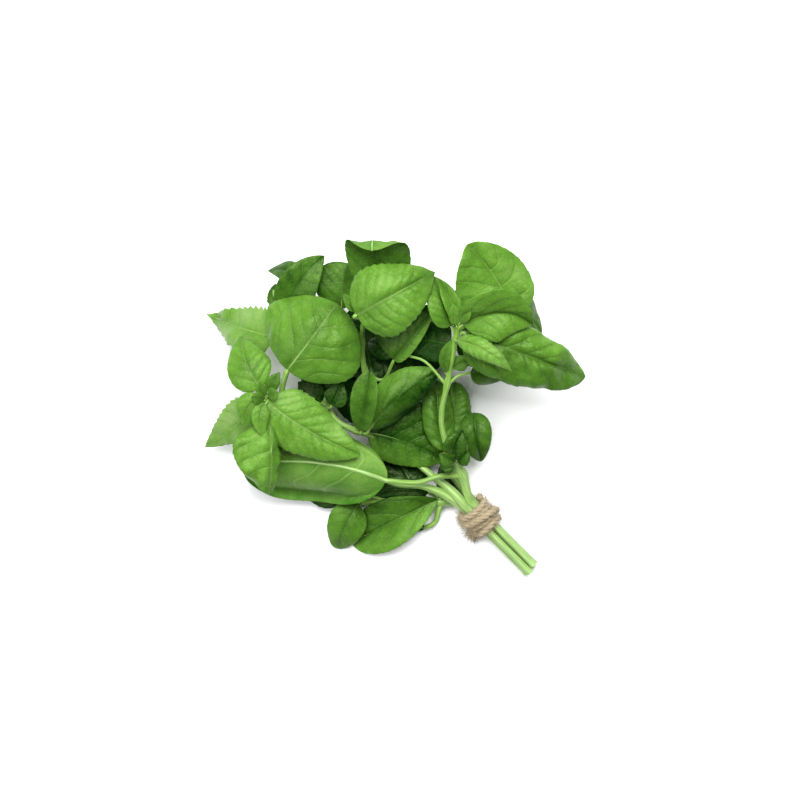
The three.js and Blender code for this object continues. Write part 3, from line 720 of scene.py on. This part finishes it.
leafy_stem(
    "leafy_stem_right",
    [
        (68.2, -84.3, 7.1),
        (42.4, -58.4, 10.7),
        (36, -52, 11.3),
        (31.3, -37.5, 17),
        (24.5, -26, 23),
        (21, -13, 28),
        (21, -4, 32),
        (23.5, 8, 37),
        (25.5, 20, 44),
        (27.5, 31, 49),
        (28.5, 36, 53),
    ],
    [
        # the long leaf lying on its face at the lower left, with its pale rib upwards
        Leaf(
            3, (-7, -40.5, 26), (-41, -31.5, 29), (-80, -33, 14), 48,
            via=((20, -38.5, 20), (9, -41.5, 22)), roll=-3, bend=-85, curl=125, shape=(0.5, 0.46),
            uneven=-0.24, veins=3.5, puff=0.35, crumple=0.5, teeth=0, tint=0.3, painted_light_and_shade=-0.3, face_down=True,
        ),
        # two crinkled leaves low down, behind the stem
        Leaf(
            3, (27, -27.5, 14), (27, -10, 15), (28, 9, 11), 19,
            bend=-20, shape=(0.5, 0.5), veins=9, puff=2, crumple=4, teeth=0.04, tint=0.45,
        ),
        Leaf(
            3, (23, -25, 16), (19.5, -9, 18), (19, 10, 16), 17,
            bend=-20, shape=(0.5, 0.5), veins=7, puff=2, crumple=4, tint=0.45,
        ),
        # side shoot low on the right, its largest leaf hanging over
        Leaf(
            4, (37.5, -6.5, 20), (38.5, -19, 23), (41, -31, 14), 16,
            via=((33, -14, 18),), fold=15, bend=-40, shape=(0.4, 0.7), veins=4, tint=0.2,
        ),
        Leaf(
            4, (27.5, -30, 24), (24, -29, 28), (19.5, -27, 29), 10,
            veins=7, puff=4, crumple=3, teeth=0.06,
        ),
        Leaf(
            4, (27, -28, 25), (28, -22, 31), (31.5, -15, 30), 13,
            veins=9, puff=4, crumple=3, teeth=0.06,
        ),
        Leaf(
            4, (29, -30, 24), (31.5, -28, 28), (33.5, -25, 28), 10,
            veins=7, puff=4, crumple=3, teeth=0.06,
        ),
        Leaf(
            4, (25.5, -31, 23), (23, -32.5, 26), (20, -34, 25), 10,
            veins=7, puff=4, crumple=3, teeth=0.06,
        ),
        # leaves half-way up: one back to the left, painted dark for shade, one out to the right, and small
        # ones
        Leaf(
            7, (-2, 22.5, 29.5), (-10, 27, 27), (-16, 29, 22), 12,
            via=((12.5, 19, 38), (6, 21.5, 34)), bend=-15, tint=-0.8,
        ),
        Leaf(7, (35, 13.5, 37), (45, 13.5, 34), (56, 13, 28), 15, via=((29, 12, 39),), roll=30, bend=-15),
        Leaf(
            7, (26.5, 15.5, 41), (31, 18.5, 43), (35.5, 18, 43), 8,
            veins=6, puff=3, crumple=2, teeth=0.05,
        ),
        Leaf(7, (22.5, 14, 41), (22, 21.5, 45), (26, 30, 47), 7, roll=-50),
        Leaf(8, (24.5, 27.5, 40), (14, 29.5, 36), (3, 30, 31), 21, bend=-20, shape=(0.3, 0.6), tint=-0.7),
        Leaf(8, (27.5, 27, 34), (45, 31, 20), (62, 32, -6), 27, shape=(0.35, 0.85)),
        # upper pair: the largest leaf out to the right, a folded one up to the left
        Leaf(
            9, (28, 29, 52), (41, 24, 60), (54.5, 14, 57), 11,
            bend=-30, tint=0.2, veins=8, puff=4, crumple=3, teeth=0.06,
        ),
        Leaf(
            9, (32.5, 32.5, 50), (62.8, 21.7, 51), (92.5, 12, 32), 33,
            fold=15, bend=-60, wave=1, shape=(0.32, 0.62), uneven=0.1, veins=6, puff=1.8, crumple=2.4,
            lean=1.2, painted_light_and_shade=0.2,
        ),
        Leaf(9, (37, 35, 45), (56.5, 43.5, 42), (70.5, 33, 30), 30, bend=-20),
        Leaf(
            9, (25.5, 36.5, 51), (20.5, 49, 54), (15.5, 61, 50), 18,
            fold=20, shape=(0.4, 0.85), veins=7, puff=2,
        ),
        # top leaves and growing tip
        Leaf(
            10, (54, 41, 50), (48, 58, 51), (32.5, 75.5, 61), 40,
            via=((36, 38, 51),), fold=8, bend=-30, shape=(0.5, 0.66), uneven=-0.2, veins=4, puff=0.9,
            tint=0.3,
        ),
        Leaf(
            10, (31, 37, 54), (49, 43, 58), (65, 37, 52), 30,
            roll=20, fold=32, bend=-20, veins=4, puff=0.9, lean=1.2,
        ),
        Leaf(10, (28, 39, 54), (24.5, 48.5, 57), (19, 59, 55), 10, fold=40),
        Leaf(10, (27.5, 36.5, 55), (26.5, 42, 58), (26, 47, 59), 6),
        Leaf(10, (29.5, 38, 56), (32, 42, 60), (33, 46, 61), 6),
    ],
)

# ---- Left-hand leafy stem ----
# A shoot of the same basil that turns left as soon as it leaves the twine, runs low under the others and
# rises at its end. It carries the round leaf that faces up and a rosette of young leaves round its tip.

leafy_stem(
    "leafy_stem_left",
    [
        (65.3, -88.6, 3.7),
        (38.7, -62, 7.25),
        (32.4, -55.5, 7.8),
        (25.4, -49.7, 11),
        (12.6, -44, 14),
        (-2, -42.5, 15),
        (-27, -31, 12),
        (-40, -20, 7.6),
        (-50, -11, 10.2),
        (-60, -6, 31),
        (-66, 0, 40),
    ],
    [
        # the round leaf that faces up
        Leaf(
            9, (-55.5, 15, 46), (-43.5, 30, 53), (-31, 47.5, 47), 59,
            via=((-58.5, 6, 38),), roll=-2, fold=-8, bend=-24, shape=(0.42, 0.45), uneven=-0.04, veins=4,
            lean=0.9, puff=0.6, painted_light_and_shade=0.1,
        ),
        # leaves round the rosette
        Leaf(10, (-69, 6, 39), (-76, 18, 39), (-79.5, 32, 30), 23, bend=-20, puff=1.4, tint=0.4),
        Leaf(
            9, (-71, -2, 34), (-83.5, -13.5, 24), (-99.5, -24, 8), 21,
            bend=-15, shape=(0.5, 1), uneven=0.05, teeth=0.05, crumple=2, tint=1,
        ),
        Leaf(
            9, (-65, -10, 40), (-63.5, -28, 42.5), (-65.5, -47, 34.5), 38,
            roll=-35, fold=-40, veins=4, puff=1, crumple=3.5, tint=0.35,
        ),
        Leaf(
            10, (-65, -1, 41), (-46.5, -14.5, 39), (-20, -27.5, 33), 31,
            bend=-30, shape=(0.38, 0.75), veins=8, lean=1.1, puff=1.2, teeth=0.03, tint=0.5,
        ),
        Leaf(10, (-65, 4, 40), (-62.5, 9, 43), (-59.5, 13.5, 43), 7),
        # growing tip
        Leaf(10, (-67, 2, 43), (-68.5, 5, 46), (-69, 8.5, 47), 6),
        Leaf(10, (-67.5, 0, 43), (-70.5, 1, 46), (-73, 1, 46), 7),
        Leaf(10, (-65, 2, 43), (-62.5, 3, 46), (-60, 4, 47), 7),
        Leaf(10, (-66.5, -2, 43), (-69, -9, 45), (-67, -18.5, 43), 9, tint=0.3),
        Leaf(10, (-69.5, -1, 42), (-75, -4, 42), (-76, -14, 38), 13, bend=-20, tint=0.3),
    ],
)

# ---- Middle leafy stem ----
# A shoot of the same basil that runs through the heart of the bunch, where it carries its largest pair, and
# ends at the back on the left. The twine holds it on top of the others, beside the right-hand one.

leafy_stem(
    "leafy_stem_middle",
    [
        (66.5, -88, 7),
        (39.7, -61, 10.7),
        (33.5, -54.5, 11.4),
        (28.4, -48.4, 12.6),
        (16, -38, 11),
        (2.5, -28, 9),
        (-14, -18.5, 16.5),
        (-22, -15.5, 24),
        (-31, -11, 26),
        (-37, -2.5, 26),
        (-46, 17, 30),
        (-52, 32, 34),
        (-56, 44, 35),
    ],
    [
        # the large pair in the heart of the bunch, and the smaller leaves round it
        Leaf(
            7, (-16, -16.5, 18), (2, -21, 15.5), (22, -30, 10.5), 35,
            roll=8, bend=-15, shape=(0.5, 0.6), uneven=-0.25, puff=0.8, tint=0.25, painted_light_and_shade=-0.35,
        ),
        Leaf(
            7, (-15.5, -15, 27), (1.5, 3.5, 33), (19.5, 14, 32), 25,
            roll=12, fold=-12, bend=-35, puff=0.8, veins=4, lean=1.2, tint=0.05, painted_light_and_shade=0.45,
        ),
        Leaf(
            7, (-19.5, -15.5, 28), (-17, -1, 36), (-15.5, 14, 38), 16,
            roll=-15, fold=25, shape=(0.6, 0.5), tint=0.1,
        ),
        Leaf(9, (-34, -2.5, 33), (-31.5, 2.5, 36), (-29, 9, 36), 12, tint=-0.25),
        Leaf(9, (-39.5, -1, 29), (-45, 4, 30), (-51, 9, 29), 13, tint=-0.25),
        Leaf(9, (-38, 2, 28), (-40, 14, 24), (-38, 28, 16), 20, tint=-0.6),
        # leaves at the back left
        Leaf(
            11, (-64, 32, 31), (-79, 36, 22), (-99, 44, -5), 26,
            bend=-15, shape=(0.5, 1), teeth=0.09, crumple=2, tint=0.95,
        ),
        Leaf(12, (-57, 42, 34), (-49.5, 58, 41.5), (-37.5, 71.5, 39), 20, fold=12, tint=-0.1),
        Leaf(12, (-62.5, 51, 38), (-63, 43.5, 39), (-65, 36.5, 36), 5, tint=-0.3),
        Leaf(12, (-52, 60, 33), (-57, 65, 30), (-66.5, 65, 22), 12, bend=-15),
        Leaf(12, (-58.5, 46, 31), (-61, 52, 31), (-62.5, 58, 27), 12, teeth=0.08),
    ],
)

# ---- Upper leafy stem ----
# A shoot of the same basil that lies low in the shade and turns up at its end, so that its top pair lies
# highest and furthest back. The twine holds it on the right of the others.

leafy_stem(
    "leafy_stem_upper",
    [
        (69, -84, 3.7),
        (43, -57.75, 7.35),
        (36.9, -51.2, 7.9),
        (30, -42, 6.5),
        (22, -32, 5.5),
        (12, -20, 6),
        (0, -8, 9),
        (-10, 4, 18),
        (-17, 13, 25),
        (-19, 28.5, 33),
        (-17.5, 41, 53),
    ],
    [
        # the pale leaf that faces up, and the one half hidden under it
        Leaf(
            10, (-21, 41.5, 57), (-2.5, 51.5, 63), (17, 62.5, 54), 37,
            bend=-25, teeth=0.03, shape=(0.38, 0.8), veins=8, puff=1.1, tint=-0.05,
        ),
        Leaf(
            8, (-3, 20, 33.5), (8, 33, 42), (18, 47, 45), 23,
            via=((-9, 10, 24),), shape=(0.3, 0.85), uneven=-0.6, painted_light_and_shade=-0.5,
        ),
        # leaves at the back, the first with its tip turned over
        Leaf(
            10, (-7, 44, 42), (-12, 74.6, 57), (-13.6, 72.1, 66), 32,
            twist=-29, shape=(0.4, 0.5), uneven=0.04, tint=-0.3,
        ),
        Leaf(
            9, (-29, 45, 34), (-28.5, 57, 38.5), (-26, 68, 37.5), 29,
            roll=8, fold=-20, shape=(0.55, 0.5), tint=0.05, painted_light_and_shade=-0.3,
        ),
        Leaf(10, (-22, 43, 54), (-25, 48, 56), (-27.5, 51.5, 57), 5),
        # low leaves in the shade, which touch the table; their colour is painted darker for shade
        Leaf(7, (-13, 9, 16), (-17, 27, 10), (-21, 47, -6), 28, shape=(0.5, 0.4), tint=-0.5),
        Leaf(6, (-8, -6, 9), (-22, 2, 9), (-38, 12, 4), 26, tint=-0.5),
        Leaf(7, (-5, 6, 17), (8, 24, 11), (20, 44, -6), 28, shape=(0.5, 0.4), tint=-0.5),
    ],
)

# ---- Lower leafy stem ----
# The lowest shoot of basil, which lies along the table with its leaves at the near edge of the bunch and in
# the shade under it. The twine holds it beneath the others.

leafy_stem(
    "leafy_stem_lower",
    [
        (67.5, -86.5, 1.7),
        (41.05, -59.7, 5.2),
        (34.3, -52.9, 5.9),
        (27, -51.5, 5),
        (20, -52, 7),
        (8, -52, 9),
        (-6, -52, 8),
        (-20, -52, 7),
    ],
    [
        # the two leaves at the near edge, and a stalk that hangs down by the twine
        Leaf(
            4, (19.5, -50.5, 10), (-1, -60.5, 9.5), (-24.5, -73, -4), 27,
            fold=26, bend=-18, shape=(0.95, 0.55), puff=0.8, veins=4, lean=1.6, tint=0.6, painted_light_and_shade=0.3,
        ),
        Leaf(
            6, (-21, -53, 9), (-27, -63, 10), (-32, -76, 1), 20,
            bend=-15, shape=(0.5, 0.55), puff=0.6, tint=0.7,
        ),
        Leaf(
            4, (12.5, -65.5, 4), (6, -63.5, 3), (-2, -61, 0), 6,
            via=((19.5, -57, 7), (18, -62.5, 5)), stalk=2.4,
        ),
        # low leaves in the shade, their colour painted darker for shade
        Leaf(4, (14, -47.5, 8), (0, -45.5, 9), (-18, -49, 4), 11),
        Leaf(5, (6, -44, 4), (2, -36, 3), (-8, -24, 2), 24, tint=-0.8),
        Leaf(3, (29, -49, 4), (25, -42, 3), (21, -33, 2), 14, tint=-0.6),
        Leaf(7, (-26, -49, 7), (-40, -42, 6), (-60, -36, -2), 24),
    ],
)

# ---- Twine tie ----
# Jute kitchen twine of three plies, wound four times round the five stems and crossed back over its own
# turns, which holds it by friction. Its short end sticks out below, and loose fibres stand off all of it.

TWINE_RADIUS = 1.65
TWINE_SPACING = 0.6
PLIES = 3
PLY_LAY = 9
STEM_COUNT = 5
STEM_GAP = 0.3
TWINE_CLEARANCE = 0.7
TIE_TURNS = 4
POINTS_PER_TURN = 24
TIE_PITCH = 2 * TWINE_RADIUS + 0.35
BUNDLE_RADIUS = STEM_RADIUS + (STEM_RADIUS + STEM_GAP / 2) / math.sin(math.pi / STEM_COUNT)
TIE_RADIUS = BUNDLE_RADIUS + TWINE_RADIUS + TWINE_CLEARANCE
TIE_MIDDLE = np.array([40.6, -59.3, 8.6])
ALONG_STEMS = np.array([-0.704, 0.71, 0.09]) / np.linalg.norm([-0.704, 0.71, 0.09])


def wound(turn, shift, radius):
    """A point of the winding: so many turns round the stems, shifted along them."""
    level = np.cross(ALONG_STEMS, [0, 0, 1])
    level /= np.linalg.norm(level)
    upright = np.cross(level, ALONG_STEMS)
    angle = turn * 2 * math.pi
    return TIE_MIDDLE + ALONG_STEMS * shift + radius * (level * math.cos(angle) + upright * math.sin(angle))


# The turns wander a little along the stems and off them, as turns wound by hand do.
# Then the twine crosses back over them, a little more than half-way round.
WANDER = 0.5
SLACK = 0.35
TIE_TAPER = 0.08
CROSSING_START = -0.03
CROSSING_TURNS = 0.56
CROSSING_LENGTH = 2.2 * TIE_PITCH
CROSSING_LIFT = 1.8 * TWINE_RADIUS
turns = []
for turn in np.linspace(0, TIE_TURNS, TIE_TURNS * POINTS_PER_TURN + 1):
    shift = (turn - TIE_TURNS / 2) * TIE_PITCH + WANDER * math.sin(9.3 * turn)
    turns.append(wound(turn, shift, TIE_RADIUS + TIE_TAPER * shift + SLACK * math.sin(6.1 * turn)))
crossing = []
for share in np.linspace(0, 1, 17):
    lift = CROSSING_LIFT * math.sin(math.pi * share) ** 0.5
    turn = CROSSING_START + CROSSING_TURNS * share
    crossing.append(wound(turn, (share - 0.5) * CROSSING_LENGTH, TIE_RADIUS + lift))
short_end = [wound(0.5, -1.6 * TIE_PITCH, TIE_RADIUS), (35, -67.5, 5), (38.5, -71.5, 2.5)]

twine_tree, twine_in = group_of(
    "laid_twine",
    "GeometryNodeTree",
    {
        "Lines": "Geometry",
        "Plies": "Int",
        "Ply radius": "Float",
        "Lay": "Float",
        "Fibre density": "Float",
        "Fibre length": "Float",
        "Seed": "Int",
        "Finish": "Material",
    },
    {"Twine": "Geometry"},
)
twine_lines = wire(twine_tree, "GeometryNodeMeshToCurve", {"Mesh": twine_in["Lines"]})
plies = wire(
    twine_tree,
    "GeometryNodeDuplicateElements",
    {"Geometry": twine_lines.outputs["Curve"], "Amount": twine_in["Plies"]},
    domain="SPLINE",
)
twine_run = wire(twine_tree, "GeometryNodeSplineParameter").outputs["Length"]
ply_share = sums(twine_tree, "DIVIDE", plies.outputs["Duplicate Index"], twine_in["Plies"])
ply_turns = sums(twine_tree, "ADD", sums(twine_tree, "DIVIDE", twine_run, twine_in["Lay"]), ply_share)
ply_angle = sums(twine_tree, "MULTIPLY", ply_turns, 2 * math.pi)
line_normal = wire(twine_tree, "GeometryNodeInputNormal").outputs["Normal"]
line_tangent = wire(twine_tree, "GeometryNodeInputTangent").outputs["Tangent"]
line_side = vectors(twine_tree, "CROSS_PRODUCT", line_tangent, line_normal)
ply_offset = vectors(
    twine_tree,
    "ADD",
    vectors(twine_tree, "SCALE", line_normal, Scale=sums(twine_tree, "COSINE", ply_angle)),
    vectors(twine_tree, "SCALE", line_side, Scale=sums(twine_tree, "SINE", ply_angle)),
)
laid = wire(
    twine_tree,
    "GeometryNodeSetPosition",
    {
        "Geometry": plies.outputs["Geometry"],
        "Offset": vectors(twine_tree, "SCALE", ply_offset, Scale=twine_in["Ply radius"]),
    },
)
ply_tangent = wire(twine_tree, "GeometryNodeInputTangent").outputs["Tangent"]
laid = stored(twine_tree, laid.outputs["Geometry"], "direction", ply_tangent, "FLOAT_VECTOR")
PLY_SIDES = 9
PLY_OVERLAP = 1.08
ply_round_share = wire(twine_tree, "GeometryNodeSplineParameter").outputs["Factor"]
ply_section = stored(twine_tree, circle(twine_tree, PLY_SIDES), "around", ply_round_share)
ply_scale = sums(twine_tree, "MULTIPLY", twine_in["Ply radius"], PLY_OVERLAP)
strands = swept(twine_tree, laid, ply_section, ply_scale)
fibre_roots = wire(
    twine_tree,
    "GeometryNodeDistributePointsOnFaces",
    {"Mesh": strands, "Density": twine_in["Fibre density"], "Seed": twine_in["Seed"]},
)

# A loose fibre of length 1, which lies along its ply at its root and stands off at its end. FIBRE_DENSITY
# is for each square metre of ply, and FIBRE_LENGTH in millimetres.
FIBRE_DENSITY = 1.2e6
FIBRE_LENGTH = 2.8
FIBRE_SIDES = 3
FIBRE_RADIUS = 0.016
FIBRE_SEED = 7
fibre_line = wire(
    twine_tree,
    "GeometryNodeCurvePrimitiveBezierSegment",
    {
        "Resolution": 5,
        "Start": (0, 0, 0),
        "Start Handle": (0.4, 0, 0.05),
        "End Handle": (0.7, 0.1, 0.3),
        "End": (1, 0.1, 0.35),
    },
)
fibre = swept(twine_tree, fibre_line.outputs["Curve"], circle(twine_tree, FIBRE_SIDES, FIBRE_RADIUS))

# Each fibre swerves from its ply by its own angles and has its own length.
lying = wire(
    twine_tree,
    "FunctionNodeAxesToRotation",
    {
        "Primary Axis": fibre_roots.outputs["Normal"],
        "Secondary Axis": carried(twine_tree, "direction", "FLOAT_VECTOR"),
    },
    primary_axis="Z",
    secondary_axis="X",
)
swerve = wire(twine_tree, "FunctionNodeRandomValue", {"Seed": twine_in["Seed"]}, data_type="FLOAT_VECTOR")
swerve.inputs[0].default_value = (-0.5, -0.9, -0.9)
swerve.inputs[1].default_value = (0.5, 0.4, 0.9)
turned = wire(
    twine_tree,
    "FunctionNodeRotateRotation",
    {"Rotation": lying.outputs["Rotation"], "Rotate By": swerve.outputs[0]},
    rotation_space="LOCAL",
)
size_share = wire(twine_tree, "FunctionNodeRandomValue", {"Seed": twine_in["Seed"]}, data_type="FLOAT")
size_share.inputs[2].default_value = 0.4
size_share.inputs[3].default_value = 1.3
fibres = wire(
    twine_tree,
    "GeometryNodeInstanceOnPoints",
    {
        "Points": fibre_roots.outputs["Points"],
        "Instance": fibre,
        "Rotation": turned.outputs["Rotation"],
        "Scale": sums(twine_tree, "MULTIPLY", size_share.outputs[1], twine_in["Fibre length"]),
    },
)
all_jute = wire(twine_tree, "GeometryNodeJoinGeometry")
twine_tree.links.new(strands, all_jute.inputs["Geometry"])
twine_tree.links.new(fibres.outputs["Instances"], all_jute.inputs["Geometry"])
give_out(twine_tree, "Twine", all_jute.outputs["Geometry"], twine_in["Finish"])

# Jute is straw coloured, with darker streaks along its strands.
jute_finish, jute_shader = finish_of(
    "jute",
    Specular_IOR_Level=0.25,
    Sheen_Weight=0.25,
    Sheen_Roughness=0.5,
)
jute_tree = jute_finish.node_tree
run_streak = sums(jute_tree, "MULTIPLY", read(jute_tree, "run"), 400)
around_streak = sums(jute_tree, "MULTIPLY", run_streak, 2)
around_streak = sums(jute_tree, "MULTIPLY_ADD", read(jute_tree, "around"), 12, around_streak)
strand_place = wire(jute_tree, "ShaderNodeCombineXYZ", {"X": run_streak, "Y": around_streak})
strand_streaks = clouds_over(jute_tree, 1.0, 3.0, strand_place.outputs["Vector"])
jute_clouds = clouds_over(jute_tree, 300.0, 3.0)
jute_colour = blended(jute_tree, strand_streaks, linear("6f6045"), linear("bfb08e"))
cloud_share = sums(jute_tree, "MULTIPLY", jute_clouds, 0.6)
jute_colour = blended(jute_tree, cloud_share, jute_colour, linear("948566"))
jute_rough = sums(jute_tree, "MULTIPLY_ADD", jute_clouds, 0.2, 0.75)
dress(jute_shader, jute_colour, jute_rough, strand_streaks, strength=0.6, depth=0.0002)

wound_lines = [(smooth_line(line, TWINE_SPACING), 1.0, 0.0) for line in (turns, crossing, short_end)]
twine_mesh = grown(
    "jute_twine",
    lines_mesh("twine_lines", wound_lines),
    twine_tree,
    plies=PLIES,
    ply_radius=TWINE_RADIUS / 2 * MM,
    lay=PLY_LAY * MM,
    fibre_density=FIBRE_DENSITY,
    fibre_length=FIBRE_LENGTH * MM,
    seed=FIBRE_SEED,
    finish=jute_finish,
)
twine = linked("jute_twine", twine_mesh)
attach(twine, "root")
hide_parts("twine_tie")
